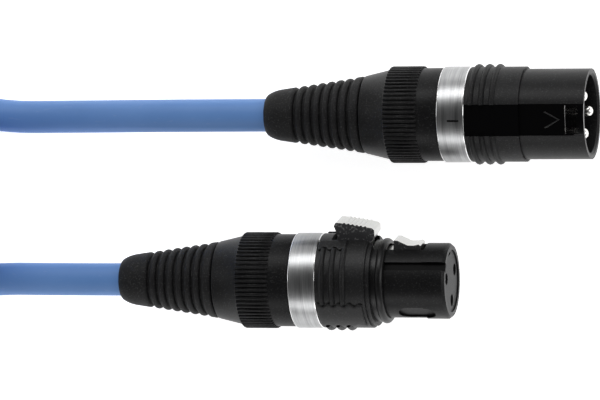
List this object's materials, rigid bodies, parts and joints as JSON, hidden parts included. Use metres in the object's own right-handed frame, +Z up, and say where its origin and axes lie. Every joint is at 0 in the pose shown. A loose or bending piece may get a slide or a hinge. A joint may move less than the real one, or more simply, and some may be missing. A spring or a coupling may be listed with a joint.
{
  "type": "xlr microphone cable",
  "caption": "Balanced audio cable wound in a tied coil, with a male and a female three-pole locking round connector on its ends",
  "frame": {"origin": "on the surface that the cable lies on, under the middle of the two connectors", "axes": "+X along both connectors to their mating faces, +Y from the female connector to the male one, +Z up"},
  "size_m": [0.2158, 0.083, 0.0271],
  "materials": {
    "shell_plastic": "satin black moulded nylon",
    "grip_plastic": "satin black moulded nylon, ribbed",
    "insert_plastic": "smooth black moulded plastic",
    "collar_plastic": "satin black moulded nylon, knurled",
    "boot_rubber": "soft matte black elastomer",
    "seal_rubber": "smooth black elastomer",
    "ring_metal": "brushed round its circumference",
    "pin_plating": "bright silver plating",
    "socket_metal": "plated contact metal",
    "latch_metal": "nickel-plated, dark cast sides",
    "spring_steel": "plain spring steel",
    "chuck_plastic": "off-white acetal",
    "wire_insulation": "coloured insulation",
    "cable_jacket": "smooth satin blue PVC",
    "tie_fabric": "black hook-and-loop strap"
  },
  "bodies": {
    "cable": {"male_shell": "shell_plastic", "male_grip": "grip_plastic", "male_marking_ring": "ring_metal", "male_insert": "insert_plastic", "male_pin_1": "pin_plating", "male_pin_2": "pin_plating", "male_pin_3": "pin_plating", "male_chuck": "chuck_plastic", "male_wires": "wire_insulation", "female_shell": "shell_plastic", "female_grip": "grip_plastic", "female_marking_ring": "ring_metal", "female_seal_ring": "seal_rubber", "female_insert": "insert_plastic", "female_socket_1": "socket_metal", "female_socket_2": "socket_metal", "female_socket_3": "socket_metal", "latch_pin": "spring_steel", "latch_spring": "spring_steel", "female_chuck": "chuck_plastic", "female_wires": "wire_insulation", "cord_male_lead": "cable_jacket", "cord_female_lead": "cable_jacket", "cord_coil": "cable_jacket", "cable_tie": "tie_fabric"},
    "male_boot_slider": {"male_boot": "boot_rubber"},
    "male_collar_nut": {"male_collar": "collar_plastic"},
    "female_boot_slider": {"female_boot": "boot_rubber"},
    "female_collar_nut": {"female_collar": "collar_plastic"},
    "latch": {"latch_lever": "latch_metal"}
  },
  "joints": [
    {"name": "latch_press", "type": "hinge", "parent": "cable", "child": "latch", "pos_m": [-0.0056, -0.01148, 0.0121], "axis": [0, 0.2419, -0.9703], "range_deg": [0, 4.3], "stiffness_Nm_per_rad": 0.5, "springref_deg": -1.72},
    {"name": "male_boot_slide", "type": "slide", "parent": "cable", "child": "male_boot_slider", "axis": [-1, 0, 0], "range_m": [0, 0.006]},
    {"name": "male_collar_turn", "type": "hinge", "parent": "male_boot_slider", "child": "male_collar_nut", "pos_m": [0.01, 0.0175, 0.0106], "axis": [-1, 0, 0], "range_deg": [0, 1440]},
    {"name": "female_boot_slide", "type": "slide", "parent": "cable", "child": "female_boot_slider", "axis": [-1, 0, 0], "range_m": [0, 0.006]},
    {"name": "female_collar_turn", "type": "hinge", "parent": "female_boot_slider", "child": "female_collar_nut", "pos_m": [-0.022, -0.0175, 0.0106], "axis": [-1, 0, 0], "range_deg": [0, 1440]}
  ],
  "couplings": [
    {"joint": "male_boot_slide", "follows": "male_collar_turn", "m_per_rad": 0.0002387},
    {"joint": "female_boot_slide", "follows": "female_collar_turn", "m_per_rad": 0.0002387}
  ]
}
